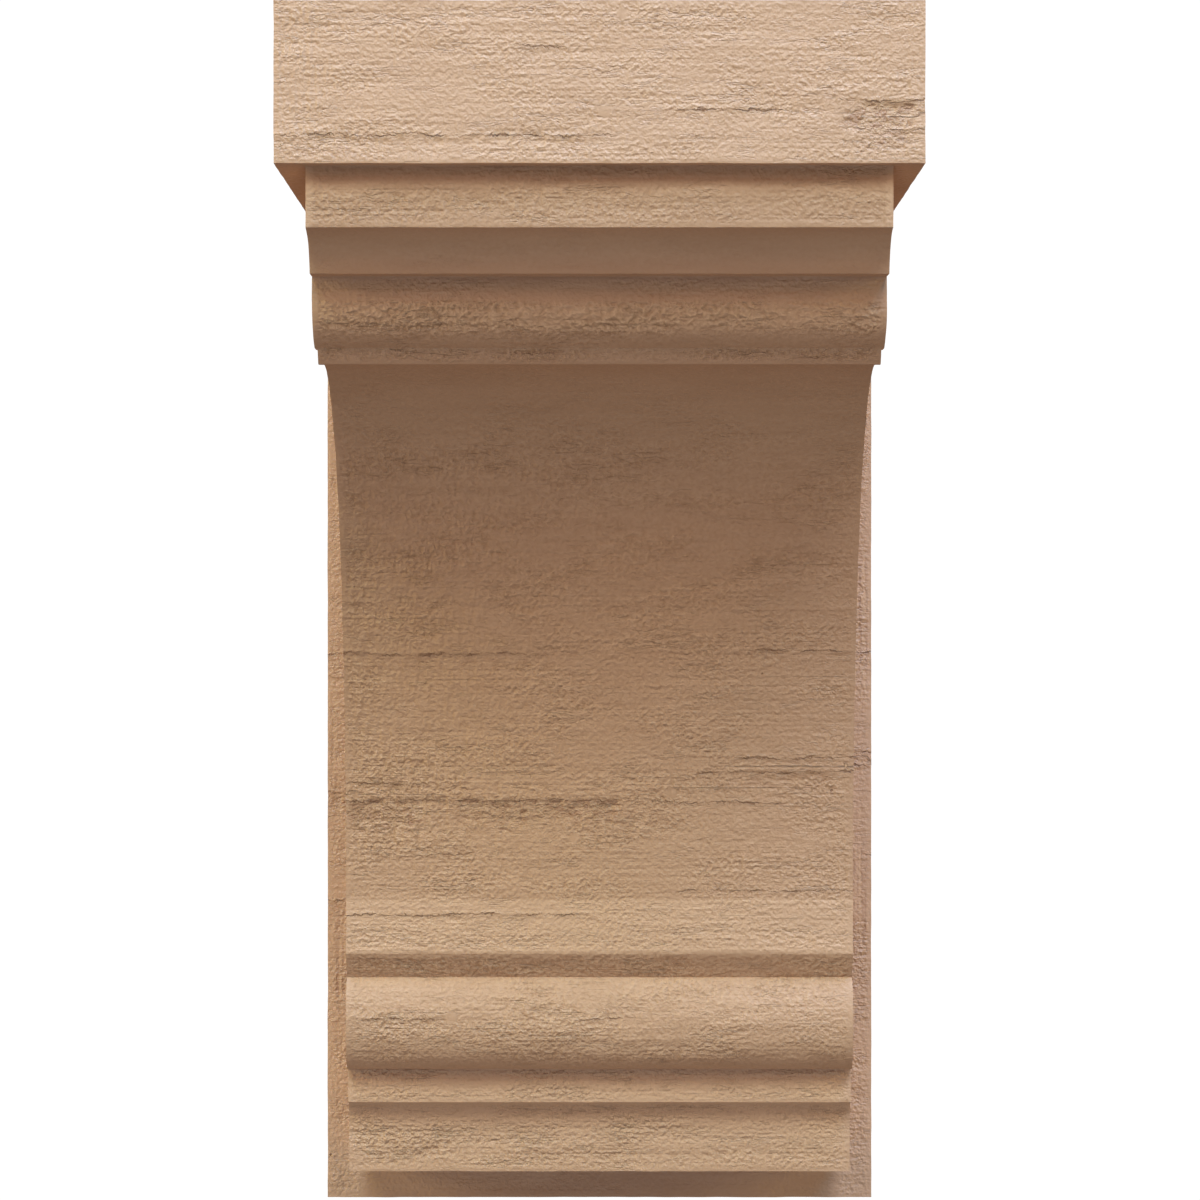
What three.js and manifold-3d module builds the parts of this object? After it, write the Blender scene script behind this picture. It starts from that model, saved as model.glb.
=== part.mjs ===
// A decorative wall corbel, cast in one piece of rigid urethane foam.
// A square cap block and a slim back plate carry a moulded bracket between them.
// Millimetres, +Z up. The origin is the centre of the back face, on the wall.
// The corbel stands out towards -Y, and its width runs along X.

import * as THREE from "three";
import { mergeVertices } from "three/addons/utils/BufferGeometryUtils.js";
import Module from "manifold-3d";

// Overall size
const HEIGHT = 406.4;
const WIDTH = 203.2;
const DEPTH = 203.2;

// Cap block and back plate
const BLOCK_HEIGHT = 51;
const PLATE_THICKNESS = 12;

// How far the sides of each tier stand in from the sides of the block
const MOULDING_INSET = 9.5;
const LISTEL_INSET = 10.4;
const BODY_INSET = 12.3;

// Mouldings under the block, from the top down
const FASCIA_SETBACK = 4.8;
const FASCIA_HEIGHT = 19.3;
const COVE_HEIGHT = 12.8;
const COVE_DEPTH = 13.7;
const COVE_BOW = 2.8;
const SOFFIT_DEPTH = 7.6;
const BAND_HEIGHT = 8.4;
const OVOLO_HEIGHT = 13.5;
const OVOLO_DEPTH = 9.9;
const LISTEL_HEIGHT = 4.8;
const LISTEL_SLOPE = 3.4;
const MOULDING_SEAT = 2.6;

// Hollow-curved body: its front at the foot of the hollow, measured from the wall
const BODY_DEPTH = 78.7;
const HOLLOW_RUNOUT = 5;
const COLUMN_HEIGHT = 22.9;
const CHAMFER_HEIGHT = 8.6;
const CHAMFER_DEPTH = 4.7;

// Foot, from the top down
const TORUS_RISE = 16.2;
const TORUS_DROP = 16.9;
const TORUS_PROUD = 1.3;
const NECK_HEIGHT = 11.8;
const NECK_SETBACK = 9.2;
const CAVETTO_HEIGHT = 15;
const CAVETTO_DEPTH = 5.8;
const TOE_HEIGHT = 10.5;
const PLATE_DROP = 18.3;

// How full the lower half of the torus is: 2 is an ellipse, and more is squarer
const TORUS_FULLNESS = 2.1;

// How far one tier runs into the next inside the casting
const LAP = 1;

// Facets along each curve
const SMALL_CURVE = 14;
const TORUS_CURVE = 22;
const HOLLOW_CURVE = 36;

const COLOUR = 0xbd9878;

// Depths from the wall and heights from the lower edge of the plate
const fasciaFront = DEPTH - FASCIA_SETBACK;
const coveBack = fasciaFront - COVE_DEPTH;
const bandFront = coveBack - SOFFIT_DEPTH;
const listelFront = bandFront - OVOLO_DEPTH;
const listelBack = listelFront - LISTEL_SLOPE;
const mouldingBack = listelBack - MOULDING_SEAT;
const notchFront = BODY_DEPTH - CHAMFER_DEPTH;
const neckFront = BODY_DEPTH - NECK_SETBACK;
const toeFront = neckFront - CAVETTO_DEPTH;

const blockBottom = HEIGHT - BLOCK_HEIGHT;
const fasciaBottom = blockBottom - FASCIA_HEIGHT;
const coveBottom = fasciaBottom - COVE_HEIGHT;
const bandBottom = coveBottom - BAND_HEIGHT;
const ovoloBottom = bandBottom - OVOLO_HEIGHT;
const listelBottom = ovoloBottom - LISTEL_HEIGHT;

const toeTop = PLATE_DROP + TOE_HEIGHT;
const neckBottom = toeTop + CAVETTO_HEIGHT;
const neckTop = neckBottom + NECK_HEIGHT;

const torusFront = BODY_DEPTH + TORUS_PROUD;
const torusHeight = neckTop + TORUS_DROP;
const notchHeight = torusHeight + TORUS_RISE;
const chamferTop = notchHeight + CHAMFER_HEIGHT;
const hollowFoot = chamferTop + COLUMN_HEIGHT;

// Points along an elliptical arc: centre, half-axes, and start and end angles
function arc(centreDepth, centreHeight, halfDepth, halfHeight, from, to, pieces) {
  const points = [];
  for (let i = 0; i <= pieces; i += 1) {
    const angle = from + ((to - from) * i) / pieces;
    points.push([
      centreDepth + halfDepth * Math.cos(angle),
      centreHeight + halfHeight * Math.sin(angle),
    ]);
  }
  return points;
}

// Points along a circular hollow that bows in towards the wall from the line between its ends
function hollowArc(start, end, bow, pieces) {
  const runDepth = end[0] - start[0];
  const runHeight = end[1] - start[1];
  const chord = Math.hypot(runDepth, runHeight);
  const radius = chord ** 2 / (8 * bow) + bow / 2;
  const reach = (radius - bow) / chord;
  const centreDepth = (start[0] + end[0]) / 2 + runHeight * reach;
  const centreHeight = (start[1] + end[1]) / 2 - runDepth * reach;
  const from = Math.atan2(start[1] - centreHeight, start[0] - centreDepth);
  const sweep = 4 * Math.atan((2 * bow) / chord);
  return arc(centreDepth, centreHeight, radius, radius, from, from - sweep, pieces);
}

// Points down the lower half of the torus, a quarter of a squared ellipse that leaves its front
// upright and comes in to the neck
function belly(pieces) {
  const points = [];
  for (let i = 0; i <= pieces; i += 1) {
    const angle = (Math.PI / 2) * (i / pieces);
    points.push([
      neckFront + (torusFront - neckFront) * Math.sin(angle) ** (2 / TORUS_FULLNESS),
      torusHeight - TORUS_DROP * Math.cos(angle) ** (2 / TORUS_FULLNESS),
    ]);
  }
  return points;
}

// The plate and the block share one outline and the full width
const frameOutline = [
  [0, 0],
  [PLATE_THICKNESS, 0],
  [PLATE_THICKNESS, blockBottom],
  [DEPTH, blockBottom],
  [DEPTH, HEIGHT],
  [0, HEIGHT],
];

// The moulding stands across the front of the bracket, a little wider than the core behind it.
// Its ovolo leaves the flat band upright, and ends on the top of the listel.
const ovoloRadius = (OVOLO_HEIGHT ** 2 + OVOLO_DEPTH ** 2) / (2 * OVOLO_DEPTH);
const ovoloAngle = Math.asin(OVOLO_HEIGHT / ovoloRadius);
const mouldingOutline = [
  [mouldingBack, ovoloBottom],
  ...arc(
    bandFront - ovoloRadius,
    bandBottom,
    ovoloRadius,
    ovoloRadius,
    -ovoloAngle,
    0,
    SMALL_CURVE,
  ),
  [bandFront, coveBottom],
  ...hollowArc(
    [coveBack, coveBottom],
    [fasciaFront, fasciaBottom],
    COVE_BOW,
    SMALL_CURVE,
  ),
  [fasciaFront, blockBottom + LAP],
  [mouldingBack, blockBottom + LAP],
];

const listelOutline = [
  [mouldingBack, listelBottom],
  [listelBack, listelBottom],
  [listelFront, ovoloBottom],
  [listelFront - LAP, ovoloBottom + LAP],
  [mouldingBack, ovoloBottom + LAP],
];

// The bracket's core starts inside the plate and ends inside the block
const inPlate = PLATE_THICKNESS / 2;

// The hollow is part of an ellipse, upright at its foot, that ends on the listel's lower edge
const hollowHalfDepth = listelBack + HOLLOW_RUNOUT - BODY_DEPTH;
const hollowEnd = Math.acos(HOLLOW_RUNOUT / hollowHalfDepth);
const hollowHalfHeight = (listelBottom - hollowFoot) / Math.sin(hollowEnd);

// The upper half of the torus is a circular arc from its front up to the notch
const torusBulge = torusFront - notchFront;
const torusRadius = (TORUS_RISE ** 2 + torusBulge ** 2) / (2 * torusBulge);
const torusEnd = Math.asin(TORUS_RISE / torusRadius);

const bodyOutline = [
  [inPlate, PLATE_DROP],
  [toeFront, PLATE_DROP],
  ...arc(
    neckFront,
    toeTop,
    CAVETTO_DEPTH,
    CAVETTO_HEIGHT,
    Math.PI,
    Math.PI / 2,
    SMALL_CURVE,
  ),
  ...belly(TORUS_CURVE),
  ...arc(
    torusFront - torusRadius,
    torusHeight,
    torusRadius,
    torusRadius,
    0,
    torusEnd,
    SMALL_CURVE,
  ).slice(1),
  [BODY_DEPTH, chamferTop],
  ...arc(
    BODY_DEPTH + hollowHalfDepth,
    hollowFoot,
    hollowHalfDepth,
    hollowHalfHeight,
    Math.PI,
    Math.PI - hollowEnd,
    HOLLOW_CURVE,
  ),
  [listelBack - LAP, listelBottom + LAP],
  [listelBack - LAP, blockBottom + LAP],
  [inPlate, blockBottom + LAP],
];

// Turns a (depth, height) outline into a solid of the given width, centred on X = 0
function tier(outline, width) {
  const shape = new THREE.Shape(outline.map(([d, h]) => new THREE.Vector2(d, h)));
  const geometry = new THREE.ExtrudeGeometry(shape, {
    depth: width,
    bevelEnabled: false,
  });
  const placing = new THREE.Matrix4().makeBasis(
    new THREE.Vector3(0, -1, 0),
    new THREE.Vector3(0, 0, 1),
    new THREE.Vector3(-1, 0, 0),
  );
  placing.setPosition(width / 2, 0, -HEIGHT / 2);
  geometry.applyMatrix4(placing);
  return geometry;
}

const wasm = await Module();
wasm.setup();

function solid(geometry) {
  geometry.deleteAttribute("normal");
  geometry.deleteAttribute("uv");
  const merged = mergeVertices(geometry, 1e-3);
  return new wasm.Manifold(
    new wasm.Mesh({
      numProp: 3,
      vertProperties: merged.attributes.position.array,
      triVerts: new Uint32Array(merged.index.array),
    }),
  );
}

const casting = solid(tier(frameOutline, WIDTH))
  .add(solid(tier(mouldingOutline, WIDTH - 2 * MOULDING_INSET)))
  .add(solid(tier(listelOutline, WIDTH - 2 * LISTEL_INSET)))
  .add(solid(tier(bodyOutline, WIDTH - 2 * BODY_INSET)))
  .getMesh();

const surface = new THREE.BufferGeometry();
surface.setAttribute("position", new THREE.BufferAttribute(casting.vertProperties, 3));
surface.setIndex(new THREE.BufferAttribute(casting.triVerts, 1));
surface.computeVertexNormals();

const urethane = new THREE.MeshStandardMaterial({
  color: COLOUR,
  roughness: 0.75,
  metalness: 0,
});
const corbel = new THREE.Mesh(surface, urethane);
corbel.name = "corbel";

const part = new THREE.Group();
part.add(corbel);

export default part;
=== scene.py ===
"""A wall corbel cast in tan urethane foam, with the surface of rough-sawn wood.

Sizes are in millimetres. A place is (x, y, z) as in the frame: x across the width, the wall at y = 0 with the
corbel standing out towards -y, and z up from half way up the back. Outlines are drawn as (d, h): d is the
distance out from the wall, and h the height above the lower edge of the back plate.
"""

import math

import bpy
import numpy as np
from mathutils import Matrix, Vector, geometry


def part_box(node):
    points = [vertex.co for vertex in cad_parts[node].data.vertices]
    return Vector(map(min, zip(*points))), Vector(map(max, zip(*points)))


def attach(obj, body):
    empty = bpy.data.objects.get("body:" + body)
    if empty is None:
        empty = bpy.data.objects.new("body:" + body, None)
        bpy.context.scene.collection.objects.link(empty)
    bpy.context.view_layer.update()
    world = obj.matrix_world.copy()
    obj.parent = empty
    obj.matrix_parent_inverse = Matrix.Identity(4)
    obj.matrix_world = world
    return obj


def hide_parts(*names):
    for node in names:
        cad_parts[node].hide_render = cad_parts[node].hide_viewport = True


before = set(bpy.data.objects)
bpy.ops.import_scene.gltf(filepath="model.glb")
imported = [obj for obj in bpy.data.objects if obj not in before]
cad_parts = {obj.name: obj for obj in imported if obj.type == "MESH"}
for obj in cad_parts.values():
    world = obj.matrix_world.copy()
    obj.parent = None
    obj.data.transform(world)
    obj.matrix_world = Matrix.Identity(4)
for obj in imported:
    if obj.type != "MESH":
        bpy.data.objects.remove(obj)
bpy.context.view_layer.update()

MM = 0.001
NODE = "corbel"

# Overall size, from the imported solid
LOW, HIGH = (np.round(np.array(corner) / MM, 2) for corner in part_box(NODE))
WIDTH, DEPTH, HEIGHT = HIGH - LOW

# Cap block and back plate
BLOCK_HEIGHT = 51
PLATE_THICKNESS = 12

# How far the sides of each tier stand in from the sides of the block
MOULDING_INSET = 9.5
LISTEL_INSET = 10.4
BODY_INSET = 12.3

# Mouldings under the block, from the top down
FASCIA_SETBACK = 4.8
FASCIA_HEIGHT = 19.3
COVE_HEIGHT = 12.8
COVE_DEPTH = 13.7
COVE_BOW = 2.8
SOFFIT_DEPTH = 7.6
BAND_HEIGHT = 8.4
OVOLO_HEIGHT = 13.5
OVOLO_DEPTH = 9.9
LISTEL_HEIGHT = 4.8
LISTEL_SLOPE = 3.4
MOULDING_SEAT = 2.6

# Hollow-curved body
BODY_DEPTH = 78.7
HOLLOW_RUNOUT = 5
COLUMN_HEIGHT = 22.9
CHAMFER_HEIGHT = 8.6
CHAMFER_DEPTH = 4.7

# Foot, from the top down
TORUS_RISE = 16.2
TORUS_DROP = 16.9
TORUS_PROUD = 1.3
TORUS_FULLNESS = 2.1
NECK_HEIGHT = 11.8
NECK_SETBACK = 9.2
CAVETTO_HEIGHT = 15
CAVETTO_DEPTH = 5.8
TOE_HEIGHT = 10.5
PLATE_DROP = 18.3

# Distance between neighbouring points of the skin
COLUMN_STEP = 1.4
ROW_STEP = 1.1
SIDE_STEP = 2.4
UNDER_STEP = 2.6
PLATE_STEP = 1.8
BACK_STEP = 9

# How many steps a flat face's inner points keep away from its loop
CLEAR_OF_EDGE = 0.55

# How far a crisp edge of the mould is worn in, the cosine below which faces meet in an edge, the smallest one
# that a corner counts with, the angle in degrees that is shaded as one, and how far from an edge the relief
# is shallow
EDGE_WEAR = 0.18
EDGE_COSINE = 0.98
SHARPEST_COSINE = 0.55
SMOOTH_ANGLE = 18
EDGE_FADE = 6

# The grain grows rougher from the first of these heights down to the second
CALM_TOP = 116
FOOT_TOP = 88

# How far the whole face lies in, how far below a split its ledge fades out, and how deep and large torn
# chips are
SKIN_DEPTH = 0.16
LEDGE_FADE = 5
CHIP_DEPTH = 0.7
CHIP_SIZE = (4.2, 4.2, 2)

# The gap that a point far from every split is given, and the points that an even arc is taken from
FAR_FROM_SPLIT = 9.0
FINE_ARC = 900

SEED = 11

# Metres from each light to the corbel
LIGHT_AWAY = 2


def line(start, end, step):
    """Points on a straight line, both ends included, in equal steps no longer than step."""
    start, end = np.atleast_1d(start).astype(float), np.atleast_1d(end).astype(float)
    pieces = max(1, math.ceil(np.linalg.norm(end - start) / step - 1e-6))
    return start + (end - start) * np.linspace(0, 1, pieces + 1)[:, None]


def stops(*values, step):
    """Numbers from the first value to the last that pass through each value between, in steps no longer than
    step."""
    runs = [line(a, b, step)[:, 0] for a, b in zip(values, values[1:])]
    return np.round(np.concatenate([runs[0]] + [run[1:] for run in runs[1:]]), 3)


def bend(centre, half, start, end, step, fullness=2):
    """Points on part of an ellipse, evenly spaced along it: the centre plus the half-axes times the cosine
    and the sine of an angle that runs from start to end. Both are raised to 2 / fullness, with their signs
    kept, so that above 2 it bulges towards a rectangle."""
    angle = np.linspace(start, end, FINE_ARC)
    turn = np.column_stack((np.cos(angle), np.sin(angle)))
    curve = np.array(centre) + np.array(half) * np.sign(turn) * np.abs(turn) ** (2 / fullness)
    along = np.concatenate(([0], np.cumsum(np.linalg.norm(np.diff(curve, axis=0), axis=1))))
    even = np.linspace(0, along[-1], max(2, math.ceil(along[-1] / step)) + 1)
    return np.column_stack([np.interp(even, along, curve[:, k]) for k in range(2)])


def hollow_bend(start, end, bow, step):
    """Points on a circular arc from start up to end, which bows in towards the wall by bow from the straight
    line between them."""
    run_out, rise = end[0] - start[0], end[1] - start[1]
    chord = math.hypot(run_out, rise)
    radius = chord**2 / (8 * bow) + bow / 2
    reach = (radius - bow) / chord
    centre = ((start[0] + end[0]) / 2 + rise * reach, (start[1] + end[1]) / 2 - run_out * reach)
    first = math.atan2(start[1] - centre[1], start[0] - centre[0])
    return bend(centre, (radius, radius), first, first - 4 * math.atan(2 * bow / chord), step)


def path(*parts):
    """One path from parts that each start where the last one ends."""
    return np.round(np.vstack([parts[0]] + [part[1:] for part in parts[1:]]), 3)


# Half-widths, then depths and heights, worked out as the solid's are
block_side = WIDTH / 2
moulding_side = block_side - MOULDING_INSET
listel_side = block_side - LISTEL_INSET
body_side = block_side - BODY_INSET

fascia_front = DEPTH - FASCIA_SETBACK
cove_back = fascia_front - COVE_DEPTH
band_front = cove_back - SOFFIT_DEPTH
listel_front = band_front - OVOLO_DEPTH
listel_back = listel_front - LISTEL_SLOPE
moulding_back = listel_back - MOULDING_SEAT
notch_front = BODY_DEPTH - CHAMFER_DEPTH
neck_front = BODY_DEPTH - NECK_SETBACK
toe_front = neck_front - CAVETTO_DEPTH

block_bottom = HEIGHT - BLOCK_HEIGHT
fascia_bottom = block_bottom - FASCIA_HEIGHT
cove_bottom = fascia_bottom - COVE_HEIGHT
band_bottom = cove_bottom - BAND_HEIGHT
ovolo_bottom = band_bottom - OVOLO_HEIGHT
listel_bottom = ovolo_bottom - LISTEL_HEIGHT

toe_top = PLATE_DROP + TOE_HEIGHT
neck_bottom = toe_top + CAVETTO_HEIGHT
neck_top = neck_bottom + NECK_HEIGHT

torus_front = BODY_DEPTH + TORUS_PROUD
torus_height = neck_top + TORUS_DROP
notch_height = torus_height + TORUS_RISE
torus_radius = (TORUS_RISE**2 + (torus_front - notch_front) ** 2) / (2 * (torus_front - notch_front))
chamfer_top = notch_height + CHAMFER_HEIGHT
hollow_foot = chamfer_top + COLUMN_HEIGHT

ovolo_radius = (OVOLO_HEIGHT**2 + OVOLO_DEPTH**2) / (2 * OVOLO_DEPTH)
hollow_depth = listel_back + HOLLOW_RUNOUT - BODY_DEPTH
hollow_end = math.acos(HOLLOW_RUNOUT / hollow_depth)
hollow_height = (listel_bottom - hollow_foot) / math.sin(hollow_end)


def moulding_path():
    """Down the front of the moulding: fascia, cove, soffit, band and ovolo."""
    cove = hollow_bend((cove_back, cove_bottom), (fascia_front, fascia_bottom), COVE_BOW, ROW_STEP)
    drop = math.asin(OVOLO_HEIGHT / ovolo_radius)
    return path(
        line((fascia_front, block_bottom), (fascia_front, fascia_bottom), ROW_STEP),
        cove[::-1],
        line((cove_back, cove_bottom), (band_front, cove_bottom), ROW_STEP),
        line((band_front, cove_bottom), (band_front, band_bottom), ROW_STEP),
        bend((band_front - ovolo_radius, band_bottom), (ovolo_radius, ovolo_radius), 0, -drop, ROW_STEP),
    )


def body_path():
    """Down the front of the bracket: hollow, column, chamfer, torus, neck, cavetto and toe."""
    hollow = bend(
        (BODY_DEPTH + hollow_depth, hollow_foot),
        (hollow_depth, hollow_height),
        math.pi - hollow_end,
        math.pi,
        ROW_STEP,
    )
    crown = bend(
        (torus_front - torus_radius, torus_height),
        (torus_radius, torus_radius),
        math.asin(TORUS_RISE / torus_radius),
        0,
        ROW_STEP,
    )
    belly = bend(
        (neck_front, torus_height),
        (torus_front - neck_front, TORUS_DROP),
        0,
        -math.pi / 2,
        ROW_STEP,
        TORUS_FULLNESS,
    )
    cavetto = bend((neck_front, toe_top), (CAVETTO_DEPTH, CAVETTO_HEIGHT), math.pi / 2, math.pi, ROW_STEP)
    return path(
        hollow,
        line((BODY_DEPTH, hollow_foot), (BODY_DEPTH, chamfer_top), ROW_STEP),
        line((BODY_DEPTH, chamfer_top), (notch_front, notch_height), ROW_STEP),
        crown,
        belly,
        line((neck_front, neck_top), (neck_front, neck_bottom), ROW_STEP),
        cavetto,
        line((toe_front, toe_top), (toe_front, PLATE_DROP), ROW_STEP),
    )


def sheet(outline, columns):
    """A surface carried across the width: its point (i, j) is point i of the outline at column j."""
    rows, across = len(outline), len(columns)
    points = np.empty((rows, across, 3))
    points[..., 0] = columns
    points[..., 1] = -outline[:, :1]
    points[..., 2] = outline[:, 1:] - HEIGHT / 2
    corner = np.arange(rows * across).reshape(rows, across)
    a, b, c, d = corner[:-1, :-1], corner[1:, :-1], corner[1:, 1:], corner[:-1, 1:]
    lean = np.add.outer(np.arange(rows - 1), np.arange(across - 1)) % 2 == 0
    halves = [
        np.where(lean[..., None], np.stack((a, b, c), -1), np.stack((a, b, d), -1)),
        np.where(lean[..., None], np.stack((a, c, d), -1), np.stack((b, c, d), -1)),
    ]
    return points.reshape(-1, 3), np.concatenate([half.reshape(-1, 3) for half in halves])


def within(points, loop):
    """True where a ray from the point towards +u crosses the loop an odd number of times."""
    crossed = np.zeros(len(points), bool)
    for (u0, v0), (u1, v1) in zip(loop, np.roll(loop, -1, axis=0)):
        if v0 != v1:
            spans = (v0 > points[:, 1]) != (v1 > points[:, 1])
            crossed ^= spans & (points[:, 0] < u0 + (points[:, 1] - v0) * (u1 - u0) / (v1 - v0))
    return crossed


def flat(loop, step, place, outward):
    """A flat face inside a loop of (u, v) points: rows of points a step apart, every other row moved on by
    half a step, joined by Delaunay triangles. Points close to the loop are left out, so that no triangle is a
    sliver. place turns (u, v) into (x, y, z)."""
    low, high = loop.min(0), loop.max(0)
    across = np.arange(low[0], high[0], step)
    up = np.arange(low[1], high[1], step * math.sqrt(3) / 2)
    u, v = np.meshgrid(across, up)
    u[1::2] += step / 2
    inner = np.column_stack((u.ravel(), v.ravel()))
    inner = inner[within(inner, loop)]
    near = np.full(len(inner), np.inf)
    for part in np.array_split(loop, max(1, len(loop) // 64)):
        near = np.minimum(near, np.linalg.norm(inner[:, None] - part[None], axis=2).min(1))
    for start, end in zip(loop, np.roll(loop, -1, axis=0)):
        reach = np.linalg.norm(end - start)
        if reach > step:
            share = np.clip((inner - start) @ (end - start) / reach**2, 0, 1)
            near = np.minimum(near, np.linalg.norm(inner - start - share[:, None] * (end - start), axis=1))
    inner = inner[near > CLEAR_OF_EDGE * step]
    given = [Vector(point) for point in np.vstack((loop, inner))]
    found = geometry.delaunay_2d_cdt(given, [], [list(range(len(loop)))], 1, 1e-5)
    uv = np.array([point[:] for point in found[0]])
    points, faces = place(uv[:, 0], uv[:, 1]), np.array(found[2])
    a, b, c = points[faces[0]]
    if np.dot(np.cross(b - a, c - a), outward) < 0:
        faces = faces[:, ::-1]
    return points, faces


def side_face(loop, x, step, outward):
    """A flat face across the side, at one x, from a loop of (d, h) points."""
    return flat(
        loop,
        step,
        lambda d, h: np.column_stack((np.full(len(d), x), -d, h - HEIGHT / 2)),
        (outward, 0, 0),
    )


def level_face(loop, h, step, outward):
    """A level face at one height, from a loop of (x, d) points."""
    return flat(
        loop,
        step,
        lambda x, d: np.column_stack((x, -d, np.full(len(x), h - HEIGHT / 2))),
        (0, 0, outward),
    )


def upright_face(loop, d, step, outward):
    """An upright face along the wall, at one distance from it, from a loop of (x, h) points."""
    return flat(
        loop,
        step,
        lambda x, h: np.column_stack((x, np.full(len(x), -d), h - HEIGHT / 2)),
        (0, outward, 0),
    )


def loop_of(*edges):
    """A closed loop from edges given in order, each starting where the last one ends."""
    return np.round(np.vstack([edge[:-1] for edge in edges]), 3)


def along(values, fixed, axis):
    """Points with one coordinate running through values and the other held at fixed."""
    pair = (values, np.full(len(values), float(fixed)))
    return np.column_stack(pair if axis == 0 else pair[::-1])


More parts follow.
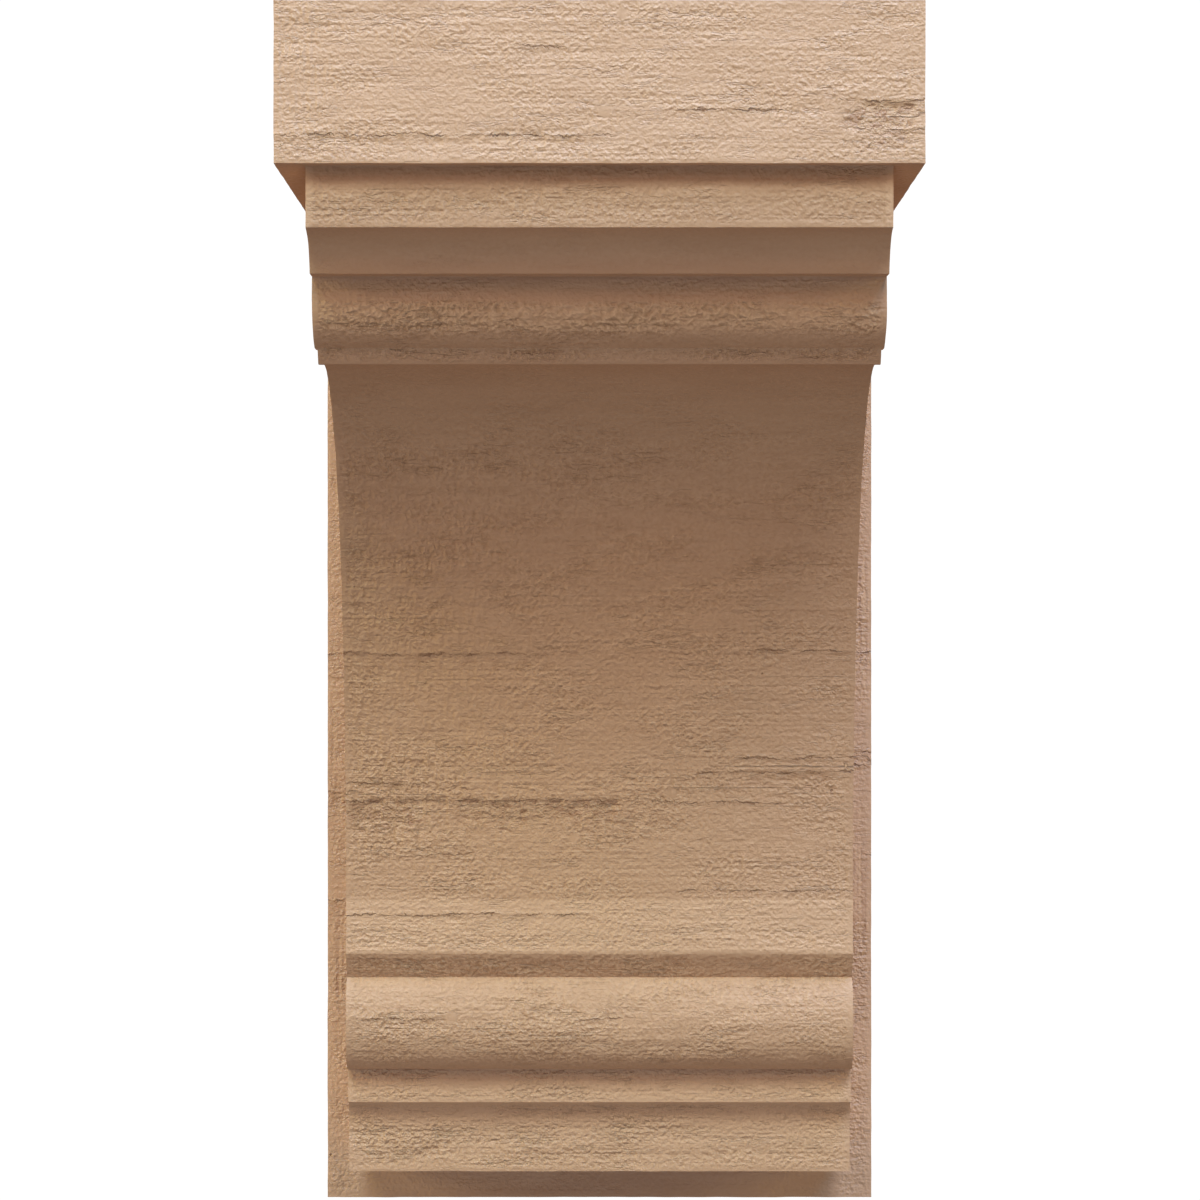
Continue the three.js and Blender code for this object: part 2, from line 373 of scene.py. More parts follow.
def casting():
    """The whole smooth surface, as sheets across the width and flat faces that share the points of their
    edges."""
    tiers = (block_side, moulding_side, listel_side, body_side)
    inner = stops(-body_side, body_side, step=COLUMN_STEP)
    wing = stops(body_side, listel_side, moulding_side, block_side, step=COLUMN_STEP)
    full = np.concatenate((-wing[:0:-1], inner, wing[1:]))
    across = {side: full[np.abs(full) < side + 1e-6] for side in tiers}

    moulding, body = moulding_path(), body_path()
    listel = path(line((listel_front, ovolo_bottom), (listel_back, listel_bottom), ROW_STEP))
    block_front = stops(HEIGHT, block_bottom, step=ROW_STEP)
    block_run = stops(PLATE_THICKNESS, DEPTH, step=UNDER_STEP)
    top_run = stops(0, DEPTH, step=UNDER_STEP)
    core_run = stops(PLATE_THICKNESS, moulding_back, step=UNDER_STEP)
    seat_run = stops(moulding_back, fascia_front, step=SIDE_STEP)
    foot_run = stops(PLATE_THICKNESS, toe_front, step=UNDER_STEP)
    edge_run = stops(0, PLATE_THICKNESS, step=UNDER_STEP)
    lip_run = stops(moulding_back, listel_front, step=ROW_STEP)
    seat_step = stops(moulding_back, listel_back, step=ROW_STEP)
    rebate = stops(listel_bottom, ovolo_bottom, block_bottom, step=SIDE_STEP)
    low_rebate, high_rebate = rebate[rebate < ovolo_bottom + 1e-6], rebate[rebate > ovolo_bottom - 1e-6]
    plate_inner = stops(PLATE_DROP, block_bottom, step=SIDE_STEP)
    plate_outer = stops(0, block_bottom, step=SIDE_STEP)
    back_up = stops(0, HEIGHT, step=BACK_STEP)
    back_across = stops(-block_side, block_side, step=BACK_STEP)

    parts = [
        sheet(along(block_front, DEPTH, 1), across[block_side]),
        sheet(moulding, across[moulding_side]),
        sheet(listel, across[listel_side]),
        sheet(body, across[body_side]),
        sheet(along(foot_run[::-1], PLATE_DROP, 0), across[body_side]),
    ]

    # Top, back and lower edge
    parts.append(
        level_face(
            loop_of(
                along(full, DEPTH, 0),
                along(top_run[::-1], block_side, 1),
                along(back_across[::-1], 0, 0),
                along(top_run, -block_side, 1),
            ),
            HEIGHT,
            UNDER_STEP,
            1,
        )
    )
    parts.append(
        upright_face(
            loop_of(
                along(back_across, 0, 0),
                along(back_up, block_side, 1),
                along(back_across[::-1], HEIGHT, 0),
                along(back_up[::-1], -block_side, 1),
            ),
            0,
            BACK_STEP,
            1,
        )
    )
    parts.append(
        level_face(
            loop_of(
                along(full, PLATE_THICKNESS, 0),
                along(edge_run[::-1], block_side, 1),
                along(back_across[::-1], 0, 0),
                along(edge_run, -block_side, 1),
            ),
            0,
            UNDER_STEP,
            -1,
        )
    )

    # The plate's front, which the bracket interrupts, and the underside of the block
    wing_out, wing_in = wing, wing[::-1]
    parts.append(
        upright_face(
            loop_of(
                along(full, 0, 0),
                along(plate_outer, block_side, 1),
                along(wing_in, block_bottom, 0),
                along(plate_inner[::-1], body_side, 1),
                along(inner[::-1], PLATE_DROP, 0),
                along(plate_inner, -body_side, 1),
                along(-wing_out, block_bottom, 0),
                along(plate_outer[::-1], -block_side, 1),
            ),
            PLATE_THICKNESS,
            PLATE_STEP,
            -1,
        )
    )
    lip = wing[wing < moulding_side + 1e-6]
    parts.append(
        level_face(
            loop_of(
                along(full, DEPTH, 0),
                along(block_run[::-1], block_side, 1),
                along(wing_in, PLATE_THICKNESS, 0),
                along(core_run, body_side, 1),
                along(lip, moulding_back, 0),
                along(seat_run, moulding_side, 1),
                along(across[moulding_side][::-1], fascia_front, 0),
                along(seat_run[::-1], -moulding_side, 1),
                along(-lip[::-1], moulding_back, 0),
                along(core_run[::-1], -body_side, 1),
                along(-wing_out, PLATE_THICKNESS, 0),
                along(block_run, -block_side, 1),
            ),
            block_bottom,
            UNDER_STEP,
            -1,
        )
    )

    for side in (-1, 1):
        # Plate and block, the core, the moulding and the listel, seen from the side
        parts.append(
            side_face(
                loop_of(
                    along(edge_run, 0, 0),
                    along(plate_outer, PLATE_THICKNESS, 1),
                    along(block_run, block_bottom, 0),
                    along(block_front[::-1], DEPTH, 1),
                    along(top_run[::-1], HEIGHT, 0),
                    along(back_up[::-1], 0, 1),
                ),
                side * block_side,
                SIDE_STEP,
                side,
            )
        )
        parts.append(
            side_face(
                loop_of(
                    along(foot_run, PLATE_DROP, 0),
                    body[::-1],
                    along(seat_step[::-1], listel_bottom, 0),
                    along(rebate, moulding_back, 1),
                    along(core_run[::-1], block_bottom, 0),
                    along(plate_inner[::-1], PLATE_THICKNESS, 1),
                ),
                side * body_side,
                SIDE_STEP,
                side,
            )
        )
        parts.append(
            side_face(
                loop_of(
                    along(lip_run, ovolo_bottom, 0),
                    moulding[::-1],
                    along(seat_run[::-1], block_bottom, 0),
                    along(high_rebate[::-1], moulding_back, 1),
                ),
                side * moulding_side,
                SIDE_STEP,
                side,
            )
        )
        parts.append(
            side_face(
                loop_of(
                    along(seat_step, listel_bottom, 0),
                    listel[::-1],
                    along(lip_run[::-1], ovolo_bottom, 0),
                    along(low_rebate[::-1], moulding_back, 1),
                ),
                side * listel_side,
                SIDE_STEP,
                side,
            )
        )
        # The small returns behind and under the moulding
        for outer, heights in ((moulding_side, high_rebate), (listel_side, low_rebate)):
            edge = side * wing[wing < outer + 1e-6]
            parts.append(
                upright_face(
                    loop_of(
                        along(edge, heights[0], 0),
                        along(heights, edge[-1], 1),
                        along(edge[::-1], heights[-1], 0),
                        along(heights[::-1], edge[0], 1),
                    ),
                    moulding_back,
                    SIDE_STEP,
                    1,
                )
            )
        for h, start, end, run in (
            (ovolo_bottom, listel_side, moulding_side, lip_run),
            (listel_bottom, body_side, listel_side, seat_step),
        ):
            edge = side * wing[(wing > start - 1e-6) & (wing < end + 1e-6)]
            parts.append(
                level_face(
                    loop_of(
                        along(edge, run[0], 0),
                        along(run, edge[-1], 1),
                        along(edge[::-1], run[-1], 0),
                        along(run[::-1], edge[0], 1),
                    ),
                    h,
                    SIDE_STEP,
                    -1,
                )
            )
    return parts


def welded(parts):
    """One closed surface from parts whose edges share their points: points that round to the same thousandth
    of a millimetre become one."""
    starts = np.cumsum([0] + [len(points) for points, _ in parts])
    points = np.vstack([points for points, _ in parts])
    faces = np.vstack([faces + start for (_, faces), start in zip(parts, starts)])
    keys = np.round(points * 1000).astype(np.int64)
    _, first, place = np.unique(keys, axis=0, return_index=True, return_inverse=True)
    return points[first], place.ravel()[faces]


def corners_at(points, faces):
    """The unit normal of each face, and the angle that the face fills at each of its three corners."""
    corner = points[faces]
    normal = np.cross(corner[:, 1] - corner[:, 0], corner[:, 2] - corner[:, 0])
    normal /= np.linalg.norm(normal, axis=1)[:, None]
    angle = np.empty(faces.shape)
    for k in range(3):
        one = corner[:, (k + 1) % 3] - corner[:, k]
        two = corner[:, (k + 2) % 3] - corner[:, k]
        angle[:, k] = np.arctan2(np.linalg.norm(np.cross(one, two), axis=1), (one * two).sum(1))
    return normal, angle


def offsets(points, faces):
    """For each point its normal, the way to move it so that all its faces move by the same amount, and
    whether it lies on an outer edge. The normal is the average of the normals round the point, weighted by
    the angle each face fills there. The way is the normal divided by its smallest cosine with them, which
    counts as SHARPEST_COSINE at the least."""
    normal, angle = corners_at(points, faces)
    total = np.zeros_like(points)
    centre = points[faces].mean(1)
    bulge = np.zeros(len(points))
    for k in range(3):
        np.add.at(total, faces[:, k], normal * angle[:, k, None])
    total /= np.linalg.norm(total, axis=1)[:, None]
    least = np.ones(len(points))
    for k in range(3):
        np.minimum.at(least, faces[:, k], (total[faces[:, k]] * normal).sum(1))
        np.add.at(bulge, faces[:, k], ((points[faces[:, k]] - centre) * total[faces[:, k]]).sum(1))
    outer = (least < EDGE_COSINE) & (bulge > 0)
    return total, total / np.maximum(least, SHARPEST_COSINE)[:, None], outer


def noise(points, cell, seed):
    """Smooth noise from about -1 to 1. Each corner of a lattice of the given cell has a random slope, and a
    point blends the heights that its eight slopes give there, with the weight 6t^5 - 15t^4 + 10t^3 along each
    side."""
    dice = np.random.default_rng(seed)
    slopes = dice.normal(size=(256, 3))
    slopes /= np.linalg.norm(slopes, axis=1)[:, None]
    order = np.tile(dice.permutation(256), 2)
    place = points / np.array(cell, float)
    corner = np.floor(place).astype(int)
    part = place - corner
    ease = part**3 * (part * (part * 6 - 15) + 10)
    total = np.zeros(len(points))
    for step in np.ndindex(2, 2, 2):
        at = (corner + step) % 256
        slope = slopes[order[order[order[at[:, 0]] + at[:, 1]] + at[:, 2]]]
        weight = np.where(np.array(step, bool), ease, 1 - ease).prod(1)
        total += weight * ((part - step) * slope).sum(1)
    return total * 1.7


def grain(points, length, height, seed):
    """Noise that runs level round the casting: cells of one length along it, and of another height."""
    return noise(points, (length, length, height), seed)


def ramp(values, start, end):
    """0 before start, 1 after end, and 3t^2 - 2t^3 between them."""
    t = np.clip((values - start) / (end - start), 0, 1)
    return t * t * (3 - 2 * t)


# Splits in the sawn face: the height of each above the plate's lower edge, where it starts and ends along
# the girth, its depth, and how much of the wood below it is torn out. The girth is x across the front, and
# runs on round the corners along the sides
SPLITS = (
    (202.5, -150, -12, 0.55, 0.35),
    (151.2, -112, 16, 0.75, 1.0),
    (111.0, -118, 2, 0.5, 0.1),
    (132.2, -78, -40, 0.3, 0.1),
    (157.2, -100, -54, 0.35, 0.2),
    (203.8, 46, 118, 0.3, 0.1),
    (166.4, 38, 112, 0.3, 0.3),
    (161.2, 26, 130, 0.4, 0.4),
    (150.6, 6, 74, 0.35, 0.1),
    (119.5, 20, 96, 0.25, 0.0),
    (74.4, -88, -50, 0.4, 0.2),
    (74.4, -15, 16, 0.35, 0.0),
    (372.0, 17, 64, 0.4, 0.1),
    (364.2, -112, 8, 0.4, 0.3),
    (375.1, 72, 170, 0.45, 0.9),
    (366.4, 70, 128, 0.4, 0.6),
    (392.2, -30, -6, 0.45, 0.5),
    (246.0, -205, -124, 0.5, 0.3),
    (181.0, -158, -104, 0.4, 0.6),
    (268.0, -220, -150, 0.35, 0.0),
    (232.0, 112, 178, 0.55, 0.6),
    (262.0, 128, 214, 0.35, 0.1),
    (191.0, 98, 154, 0.4, 0.2),
    (128.0, 92, 150, 0.45, 0.4),
    (386.0, -262, -140, 0.5, 0.5),
    (363.0, 186, 290, 0.5, 0.3),
    (393.0, 150, 240, 0.35, 0.0),
    (300.0, 104, 112, 0.3, 0.0),
)

# Torn spots below splits: the girth and the height of each centre, and its half length and half height
TORN_SPOTS = (
    (-75, 146.3, 17, 5.5),
    (-32, 146.0, 8, 5.5),
    (86, 369.0, 13, 5.5),
    (-190, 176.0, 17, 5.0),
    (150, 226.0, 15, 5.5),
)


def girth(points, body):
    """How far round the casting a point lies: x on the front, and on a side the half-width plus the distance
    back from the front, with the sign of x."""
    x, d, h = points[:, 0], -points[:, 1], points[:, 2] + HEIGHT / 2
    on_block = h > block_bottom - 0.01
    front = np.interp(h, body[::-1, 1], body[::-1, 0])
    front = np.where(np.abs(x) > body_side + 3, PLATE_THICKNESS, front)
    front = np.where(on_block, DEPTH, front)
    return np.sign(x) * (np.abs(x) + np.maximum(front - d, 0) * (np.abs(x) > listel_side - 4))


def splits(points, body):
    """The height of each point above the nearest split, in mm, the split's strength there, its depth and its
    tear. A split wanders by two waves of noise along the girth, and fades out at both ends."""
    u = girth(points, body)
    h = points[:, 2] + HEIGHT / 2
    line_of = np.column_stack((u, np.zeros(len(u)), np.zeros(len(u))))
    gap = np.full(len(u), FAR_FROM_SPLIT)
    strength, depth, tear = np.zeros(len(u)), np.zeros(len(u)), np.zeros(len(u))
    for number, (height, start, end, deep, torn) in enumerate(SPLITS):
        wander = 1.1 * noise(line_of, (26, 1, 1), 100 + number)
        wander += 0.45 * noise(line_of, (6, 1, 1), 150 + number)
        away = h - height - wander
        fade = ramp(u, start, start + 14) * ramp(-u, -end, -end + 14)
        patchy = 0.2 + 0.8 * ramp(noise(line_of, (7, 1, 1), 200 + number), -0.4, 0.25)
        nearer = (np.abs(away) < np.abs(gap)) & (fade > 0)
        gap = np.where(nearer, away, gap)
        strength = np.where(nearer, fade * patchy, strength)
        depth = np.where(nearer, deep, depth)
        tear = np.where(nearer, torn * fade, tear)
    return gap, strength, depth, tear


def from_edges(points, faces, outer, steps=6):
    """How far each point lies from the nearest outer edge, along the edges of the triangles. Each step hands
    every point the smallest of its neighbours' distances plus the length of the edge between."""
    sides = np.vstack((faces[:, [0, 1]], faces[:, [1, 2]], faces[:, [2, 0]]))
    length = np.linalg.norm(points[sides[:, 0]] - points[sides[:, 1]], axis=1)
    away = np.where(outer, 0.0, 2.0 * EDGE_FADE)
    for _ in range(steps):
        np.minimum.at(away, sides[:, 0], away[sides[:, 1]] + length)
    return away


# A height below the whole casting
BELOW_ALL = -1

# For each part, from the top down: its lower end, how strong its fine grain is, and how much paler its coat
# is painted. This is partly tone and mostly painted light and shade: much paler on the lower body, neck and
# cavetto, which the torus shades, and darker on the fascia under the block
GRAIN_BY_PART = (
    (block_bottom, 1.0, 0.21),
    (fascia_bottom, 1.0, -0.38),
    (cove_bottom, 1.0, 0.0),
    (band_bottom, 0.9, 0.12),
    (listel_bottom, 2.7, 0.1),
    (CALM_TOP, 1.45, -0.12),
    (chamfer_top, 1.15, 0.55),
    (notch_height, 2.0, 0.0),
    (neck_top, 1.15, 0.05),
    (toe_top, 1.6, 1.0),
    (PLATE_DROP, 1.25, 0.16),
    (BELOW_ALL, 0.3, 0.1),
)


def grain_strength(x, d, h):
    """How strong the fine grain is at each point, and how much paler its coat is painted: the values of the
    part that the point's height falls in. The paleness is partly tone and mostly painted light and shade. On
    the bracket the grain is stronger towards the left edge and weaker towards the right one, by up to about a
    seventh. The top and the back are painted darker."""
    above = [h > lower_end for lower_end, _, _ in GRAIN_BY_PART]
    strength = np.select(above, [strong for _, strong, _ in GRAIN_BY_PART])
    # The paleness of each part is partly tone and mostly painted light and shade
    tone_and_painted_light = np.select(above, [paler_by_tone_and_painted_light for _, _, paler_by_tone_and_painted_light in GRAIN_BY_PART])
    on_body = (np.abs(x) < body_side + 0.1) & (h < block_bottom)
    strength = np.where(on_body, strength * (1 - 0.15 * x / body_side), np.minimum(strength, 1.1))
    strength = np.where(on_body | (h > PLATE_DROP), strength, 1.0)
    front = (d > PLATE_THICKNESS + 0.1) & (np.abs(x) < listel_side + 3)
    tone_and_painted_light = tone_and_painted_light * ((on_body & front) | (h > block_bottom))
    # The plate beside the bracket is painted paler, partly tone and partly painted light
    plate = (np.abs(d - PLATE_THICKNESS) < 0.1) & ~on_body & (h < block_bottom)
    tone_and_painted_light = np.where(plate, 0.42, tone_and_painted_light)
    return strength, np.where((h > HEIGHT - 0.5) | (d < 0.5), -0.3, tone_and_painted_light)


def sawn_relief(points, normals, away, body):
    """How deep the sawn surface lies under each smooth point, in mm, and the masks that the material reads.
    The depth adds up long swells, shorter ridges and small lumps. Under each split it adds a ledge that dies
    away downwards as e^(-t / LEDGE_FADE), and chips with flat tops where the wood is torn: below some splits,
    and in the ovals of TORN_SPOTS. All of it is shallow near the outer edges; away is how far from them the
    point lies."""
    x, d, h = points[:, 0], -points[:, 1], points[:, 2] + HEIGHT / 2
    front = np.abs(x) < body_side - 0.1

    level = ramp(np.abs(normals[:, 2]), 0.55, 0.85)
    soft = 1 - 0.6 * level
    cove = (h < fascia_bottom) & (h > cove_bottom - 0.1) & (d > moulding_back)
    soft = np.where(cove, 0.35, soft)
    against_wall = d < 0.01
    patches = grain(points, 34, 12, SEED) + 0.5 * grain(points, 11, 5, SEED + 8)
    foot = 1 + 0.35 * ramp(-h, -CALM_TOP, -FOOT_TOP)
    rough = soft * foot * (0.55 + 0.6 * ramp(patches, -0.45, 0.45)) * ~against_wall

    gap, strength, depth, tear = splits(points, body)
    strength, tear = strength * (1 - level) * ~against_wall, tear * (1 - level) * ~against_wall
    below = np.where(gap < 0, np.exp(np.minimum(gap, 0) / LEDGE_FADE), 0)
    ledge = depth * strength * below
    torn = tear * ramp(gap, -9, -5) * ramp(-gap, -0.2, 0.6)
    torn *= ramp(grain(points, 11, 30, SEED + 1), -0.4, 0.05)

    fringe = 0.6 * grain(points, 5, 3, SEED + 9)
    u = girth(points, body)
    for place, height, length, rise in TORN_SPOTS:
        oval = 1 + fringe - ((u - place) / length) ** 2 - ((h - height) / rise) ** 2
        torn = np.maximum(torn, ramp(oval, 0, 0.4) * (1 - level) * ~against_wall)

    chip = np.floor(points / CHIP_SIZE)
    chips = 0.5 + 0.5 * noise(chip * 1.37 + 0.41, (1, 1, 1), SEED + 2)

    waves = (
        0.26 * grain(points, 42, 12, SEED + 3)
        + 0.16 * grain(points, 15, 5, SEED + 4)
        + 0.12 * grain(points, 6, 2.9, SEED + 5)
    )
    deep = SKIN_DEPTH + rough * waves + ledge + CHIP_DEPTH * torn * chips
    deep *= 0.2 + 0.8 * ramp(away, 0, EDGE_FADE)
    blade = ramp(-x, 15, 40) * ramp(h, 118, 150) * ramp(-h, -285, -262) * front
    blade = np.maximum(blade, ~front * ramp(grain(points, 60, 45, SEED + 7), 0, 0.4)) * ~against_wall
    # The paleness mask is tone with painted light and shade, which the coat reads
    keen, tone_and_painted_light = grain_strength(x, d, h)
    rim = np.where(h > block_bottom, 0.6, 0.2)
    rough = rough * keen * (rim + (1 - rim) * ramp(away, 0, 3.5))
    masks = {"split": gap, "cut": strength, "torn": torn, "rough": rough, "saw": blade, "tone_and_painted_light": tone_and_painted_light}
    return np.maximum(deep, 0) * ~against_wall, masks


def sawn_skin():
    """The closed skin of the casting: the smooth surface, moved in by the relief and by the wear of its
    edges."""
    points, faces = welded(casting())
    normals, ways, outer = offsets(points, faces)
    away = from_edges(points, faces, outer)
    deep, masks = sawn_relief(points, normals, away, body_path())
    worn = points - ways * deep[:, None]
    ragged = 0.7 + 0.6 * noise(points, (9, 9, 9), SEED + 6)
    worn[outer] -= normals[outer] * EDGE_WEAR * np.clip(ragged, 0.2, 1.6)[outer, None]

    mesh = bpy.data.meshes.new("sawn_casting")
    mesh.from_pydata((points * MM).tolist(), [], faces.tolist())
    mesh.shade_smooth()
    mesh.set_sharp_from_angle(angle=math.radians(SMOOTH_ANGLE))
    mesh.vertices.foreach_set("co", (worn * MM).ravel())
    mesh.update()
    for name, values in masks.items():
        mesh.attributes.new(name, "FLOAT", "POINT").data.foreach_set("value", values.astype(np.float32))
    skin = bpy.data.objects.new("sawn_casting", mesh)
    bpy.context.scene.collection.objects.link(skin)
    return skin


class Finish:
    """A material under construction: makes its nodes, and joins them."""

    def __init__(self, name):
        self.material = bpy.data.materials.new(name)
        self.material.use_nodes = True
        self.tree = self.material.node_tree
        self.shader = self.tree.nodes["Principled BSDF"]

    def node(self, kind, settings=None, **inputs):
        made = self.tree.nodes.new(kind)
        for name, value in (settings or {}).items():
            setattr(made, name, value)
        for name, value in inputs.items():
            self.feed(made.inputs[name.replace("_", " ")], value)
        return made

    def feed(self, socket, value):
        if isinstance(value, bpy.types.NodeSocket):
            self.tree.links.new(value, socket)
        else:
            socket.default_value = value

    def math(self, operation, first, second=0.0, clamp=False):
        made = self.node("ShaderNodeMath", {"operation": operation, "use_clamp": clamp})
        self.feed(made.inputs[0], first)
        self.feed(made.inputs[1], second)
        return made.outputs[0]

    def stretched(self, length, height, source=None):
        """Object coordinates in cells of the given length along the level, and of the given height, in mm."""
        source = source or self.node("ShaderNodeTexCoord").outputs["Object"]
        made = self.node("ShaderNodeVectorMath", {"operation": "MULTIPLY"})
        self.feed(made.inputs[0], source)
        self.feed(made.inputs[1], (1000 / length, 1000 / length, 1000 / height))
        return made.outputs[0]

    def pattern(self, length, height, detail=1.0, roughness=0.5, source=None):
        """Noise about zero, in stretched cells."""
        made = self.node(
            "ShaderNodeTexNoise",
            Vector=self.stretched(length, height, source),
            Scale=1.0,
            Detail=detail,
            Roughness=roughness,
        )
        return self.math("SUBTRACT", made.outputs["Fac"], 0.5)

    def cells(self, length, height):
        """Scattered cells of about the given length and height, in mm, with their distances and colours."""
        return self.node(
            "ShaderNodeTexVoronoi",
            {"feature": "F1"},
            Vector=self.stretched(length, height),
            Scale=1.0,
        )

    def eased(self, value, start, end, low=0.0, high=1.0):
        """low up to start, high from end on, and a smooth step between them."""
        made = self.node("ShaderNodeMapRange", {"interpolation_type": "SMOOTHSTEP"})
        names = ("Value", "From Min", "From Max", "To Min", "To Max")
        for name, number in zip(names, (value, start, end, low, high)):
            self.feed(made.inputs[name], number)
        return made.outputs[0]

    def mask(self, name):
        """A mask stored on the piece's points."""
        return self.node("ShaderNodeAttribute", {"attribute_name": name}).outputs["Fac"]


def sawn_urethane():
    """Tan urethane foam with a rough-sawn face. The height of its bump is in mm: fine lumps, coarser ones in
    patches, short creases where a level noise crosses zero, long grain lines, faint saw lines, the splits
    with their lips and torn blocks, and a few filled spots and pinholes."""
    finish = Finish("sawn_urethane")
    rough, torn = finish.mask("rough"), finish.mask("torn")
    gap, cut = finish.mask("split"), finish.mask("cut")

    lumps = finish.pattern(1.45, 1.35, 1.0)
    coarse_here = finish.eased(finish.pattern(32, 12, 1.0), -0.12, 0.12, 0.1, 0.31)
    coarse = finish.math("MULTIPLY", finish.pattern(4.6, 2.1, 2.0), coarse_here)
    crease_here = finish.eased(finish.pattern(16, 4, 1.0), 0.0, 0.12, 0.0, 0.16)
    crossing = finish.math("ABSOLUTE", finish.pattern(9, 1.9, 2.0, 0.55))
    crease = finish.math("MULTIPLY", finish.eased(crossing, 0.0, 0.035, -1.0, 0.0), crease_here)
    lines = finish.math("MULTIPLY", finish.pattern(75, 1.3, 1.0), 0.3)
    saw_here = finish.math("MULTIPLY", finish.mask("saw"), 0.8)
    saw = finish.math("MULTIPLY", finish.pattern(2.1, 90, 1.0), saw_here)

    height = finish.math("MULTIPLY", lumps, 0.72)
    for part in (coarse, crease, lines, saw):
        height = finish.math("ADD", height, part)
    height = finish.math("MULTIPLY", height, finish.math("ADD", finish.math("MULTIPLY", rough, 0.88), 0.12))

    # Filled spots are smooth
    fillings = finish.cells(34, 34)
    unfilled = finish.eased(fillings.outputs["Distance"], 0.045, 0.075, 0.12, 1.0)
    height = finish.math("MULTIPLY", height, unfilled)

    # Cracks along the splits with a lip above them, and torn blocks under them
    frayed = finish.math("MULTIPLY", finish.pattern(1.5, 1.5, 3.0, 0.6), 3.0)
    ragged = finish.math("ADD", gap, frayed)
    here = finish.math("MULTIPLY", finish.eased(finish.pattern(5, 5, 2.0), -0.12, 0.06), cut)
    crack = finish.math("MULTIPLY", finish.eased(finish.math("ABSOLUTE", ragged), 0.0, 0.5, 1.0, 0.0), here)
    lip = finish.math("MULTIPLY", finish.eased(ragged, 0.3, 1.6, 0.3, 0.0), finish.eased(ragged, 0.0, 0.4))
    height = finish.math("ADD", height, finish.math("MULTIPLY", lip, cut))
    height = finish.math("SUBTRACT", height, finish.math("MULTIPLY", crack, 0.5))
    blocks = finish.cells(3.0, 1.5)
    block = finish.math("SUBTRACT", finish.math("MULTIPLY", blocks.outputs["Color"], 1.0), 0.5)
    splinter = finish.math("ADD", finish.math("MULTIPLY", block, 0.7), finish.pattern(1.6, 1.1, 2.0))
    height = finish.math("ADD", height, finish.math("MULTIPLY", splinter, finish.math("MULTIPLY", torn, 1.3)))

    # Pinholes left by bubbles
    bubbles = finish.cells(23, 23)
    hole = finish.eased(bubbles.outputs["Distance"], 0.012, 0.026, 1.0, 0.0)
    height = finish.math("SUBTRACT", height, finish.math("MULTIPLY", hole, 0.6))

    bump = finish.node("ShaderNodeBump", Strength=1.0, Distance=MM, Height=height)
    finish.feed(finish.shader.inputs["Normal"], bump.outputs["Normal"])

    # An even tan coat in long faint streaks, with painted shade in the cracks, pinholes and torn pits, and
    # painted light and shade on the lumps
    # Painted shade in the low blocks of the torn wood
    painted_pit_shade = finish.math("MULTIPLY", finish.eased(block, -0.45, 0.0, 0.5, 0.0), torn)
    # Painted shade in the cracks and pinholes
    painted_shade = finish.math("ADD", finish.math("MULTIPLY", crack, 0.5), finish.math("MULTIPLY", hole, 0.6))
    painted_shade = finish.math("ADD", painted_shade, painted_pit_shade, clamp=True)
    streaks = finish.math("ADD", finish.math("MULTIPLY", finish.pattern(30, 4, 2.0), 0.5), 0.5)
    # Each part is made paler or darker by its mask of tone and painted light and shade
    streaks = finish.math("ADD", streaks, finish.mask("tone_and_painted_light"))
    # Painted light and shade on the lumps: paler on their tops and darker in their hollows, strongest where
    # the grain is rough
    painted_lump_shading = finish.math("ADD", lumps, finish.math("MULTIPLY", coarse, 1.5))
    paler_by_tone_and_painted_light = finish.math("ADD", streaks, finish.math("MULTIPLY", painted_lump_shading, finish.math("MULTIPLY", rough, 0.9)))
    coat = finish.node("ShaderNodeMix", {"data_type": "RGBA", "clamp_factor": True})
    finish.feed(coat.inputs["Factor"], paler_by_tone_and_painted_light)
    finish.feed(coat.inputs[6], (0.452, 0.248, 0.137, 1))
    finish.feed(coat.inputs[7], (0.611, 0.364, 0.22, 1))
    shaded_coat = finish.node("ShaderNodeMix", {"data_type": "RGBA"})
    finish.feed(shaded_coat.inputs["Factor"], painted_shade)
    finish.feed(shaded_coat.inputs[6], coat.outputs[2])
    # The colour of the painted shade in the cracks, pinholes and torn pits
    finish.feed(shaded_coat.inputs[7], (0.24, 0.085, 0.035, 1))
    finish.feed(finish.shader.inputs["Base Color"], shaded_coat.outputs[2])
    finish.feed(finish.shader.inputs["Roughness"], finish.eased(lumps, -0.2, 0.2, 0.68, 0.56))
    finish.feed(finish.shader.inputs["Specular IOR Level"], 0.45)
    return finish.material


def pale_floor():
    """A large, plain floor far below the corbel, as under a real one, evenly pale. It sends no light back up,
    and throws no shadow from the light below it."""
    reach, level = 6.0, -1.5
    corners = ((-reach, -reach), (reach, -reach), (reach, reach), (-reach, reach))
    mesh = bpy.data.meshes.new("floor")
    mesh.from_pydata([(x, y, level) for x, y in corners], [], [(0, 1, 2, 3)])
    finish = Finish("pale_floor")
    finish.feed(finish.shader.inputs["Base Color"], (0.1, 0.1, 0.1, 1))
    finish.feed(finish.shader.inputs["Roughness"], 0.9)
    finish.feed(finish.shader.inputs["Emission Color"], (1.0, 0.985, 0.96, 1))
    finish.feed(finish.shader.inputs["Emission Strength"], 0.72)
    mesh.materials.append(finish.material)
    floor = bpy.data.objects.new("floor", mesh)
    bpy.context.scene.collection.objects.link(floor)
    floor.visible_diffuse = floor.visible_glossy = floor.visible_shadow = False


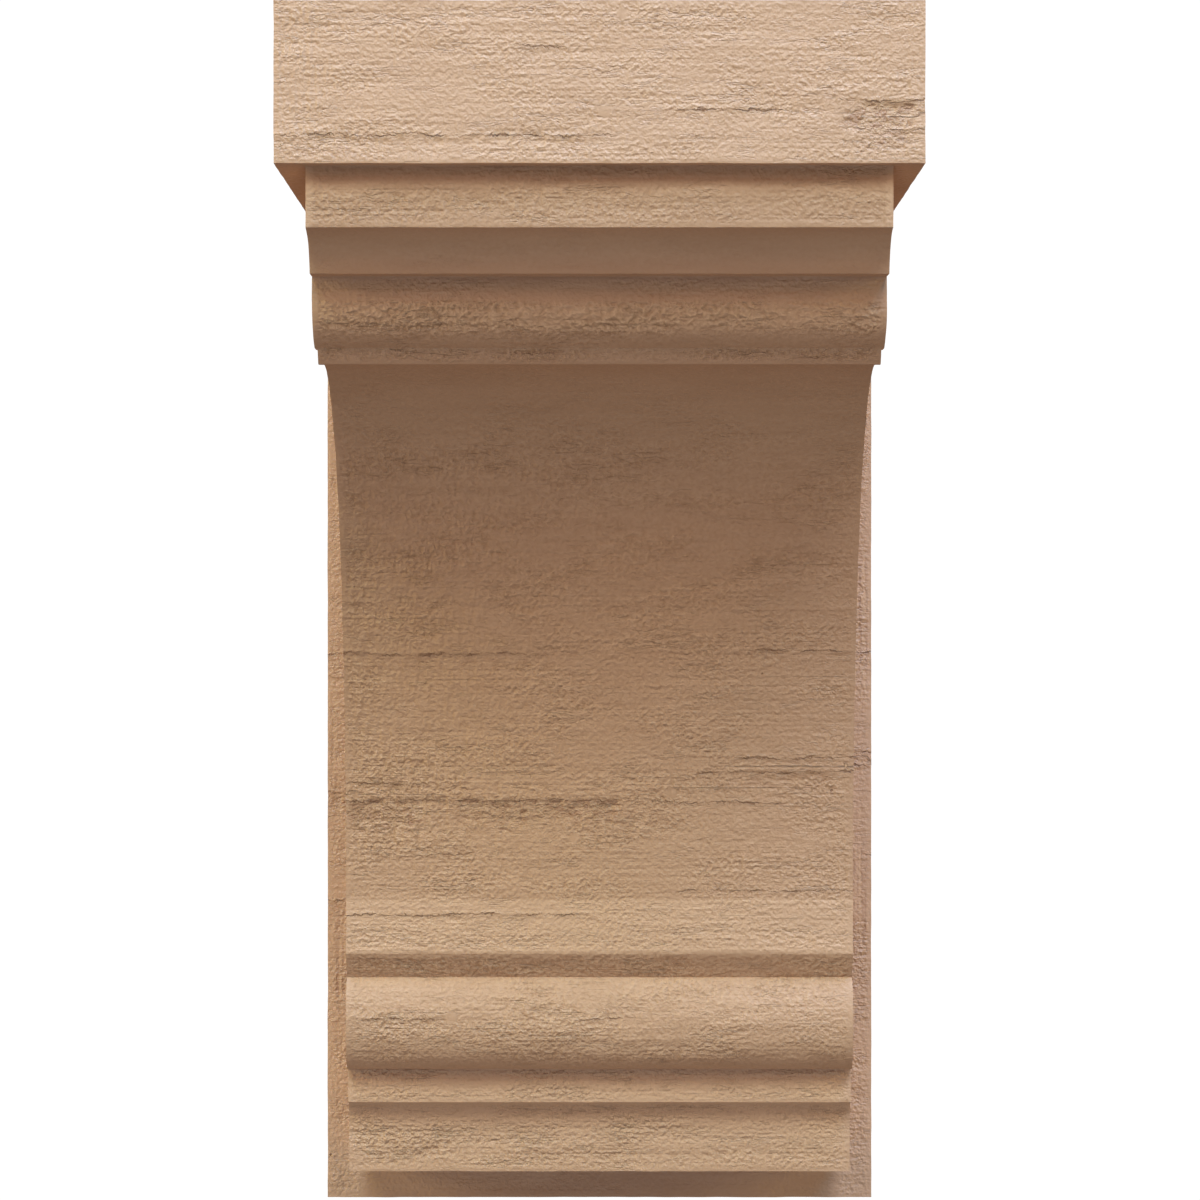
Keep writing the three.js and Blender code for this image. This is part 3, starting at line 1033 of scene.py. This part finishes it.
def soft_light(name, azimuth, elevation, size, watts, colour):
    """A square studio light aimed at the corbel, with its side in metres. Azimuth 0 is straight in front, and
    more is to the right."""
    turn, tilt = math.radians(azimuth), math.radians(elevation)
    aim = Vector((0, -0.1, 0))
    level = math.cos(tilt)
    place = aim + LIGHT_AWAY * Vector((level * math.sin(turn), -level * math.cos(turn), math.sin(tilt)))
    lamp = bpy.data.lights.new(name, "AREA")
    lamp.shape, lamp.size = "SQUARE", size
    lamp.energy, lamp.color = watts, colour
    light = bpy.data.objects.new(name, lamp)
    light.visible_camera = False
    light.location = place
    light.rotation_euler = (aim - place).to_track_quat("-Z", "Y").to_euler()
    bpy.context.scene.collection.objects.link(light)


def studio():
    """A white surround that the camera sees, much dimmer as a light, and soft lights mostly from above."""
    world = bpy.data.worlds.new("studio")
    bpy.context.scene.world = world
    world.use_nodes = True
    tree = world.node_tree
    surround = tree.nodes["Background"]
    surround.inputs["Color"].default_value = (1, 0.5, 0.4, 1)
    surround.inputs["Strength"].default_value = 0.14
    white = tree.nodes.new("ShaderNodeBackground")
    white.inputs["Color"].default_value = (1, 1, 1, 1)
    white.inputs["Strength"].default_value = 1.05
    ray = tree.nodes.new("ShaderNodeLightPath")
    seen = tree.nodes.new("ShaderNodeMixShader")
    tree.links.new(ray.outputs["Is Camera Ray"], seen.inputs[0])
    tree.links.new(surround.outputs[0], seen.inputs[1])
    tree.links.new(white.outputs[0], seen.inputs[2])
    tree.links.new(seen.outputs[0], tree.nodes["World Output"].inputs["Surface"])

    soft_light("key", 15, 50, 0.5, 13.3, (0.96, 1.0, 0.95))
    soft_light("key_left", -15, 50, 0.5, 11, (0.59, 0.95, 1.0))
    soft_light("key_low", -15, 34, 0.5, 3.0, (1.0, 0.56, 0.57))
    soft_light("key_high", 15, 57, 0.5, 5.9, (0.2, 0.5, 1.0))
    soft_light("high_right", 45, 50, 0.5, 8.6, (0.03, 0.49, 1.0))
    soft_light("high_left", -45, 50, 0.5, 5.5, (0.77, 1.0, 0.34))
    soft_light("side_left", -75, 15, 0.8, 23, (1.0, 0.95, 0.64))
    soft_light("side_right", 75, 15, 0.8, 17, (1.0, 0.93, 0.56))
    soft_light("top_left", -50, 68, 0.8, 22, (0.38, 0.57, 1.0))
    soft_light("top_right", 50, 68, 0.8, 29, (0.42, 0.57, 1.0))
    soft_light("low", 0, -15, 0.8, 5.7, (0.28, 0.67, 1.0))
    soft_light("floor_glow", 0, -60, 0.8, 8.0, (0.92, 1.0, 0.91))
    soft_light("back_left", -150, 15, 0.8, 15, (0.8, 0.9, 1.0))
    soft_light("back_right", 150, 15, 0.8, 15, (0.8, 0.9, 1.0))


def camera():
    """Level with the lower body of the corbel, straight in front of it, with the picture shifted up."""
    lens = bpy.data.cameras.new("camera")
    lens.sensor_width = 36
    lens.lens = 92.4
    lens.shift_x = 0.00044
    lens.shift_y = 0.0482
    eye = bpy.data.objects.new("camera", lens)
    eye.location = (0, -1.1619, -0.0017)
    eye.rotation_euler = (math.radians(90), 0, 0)
    bpy.context.scene.collection.objects.link(eye)
    bpy.context.scene.camera = eye


camera()
skin = sawn_skin()
skin.data.materials.append(sawn_urethane())
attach(skin, "root")
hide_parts(NODE)
pale_floor()
studio()
bpy.context.scene.view_settings.view_transform = "Standard"
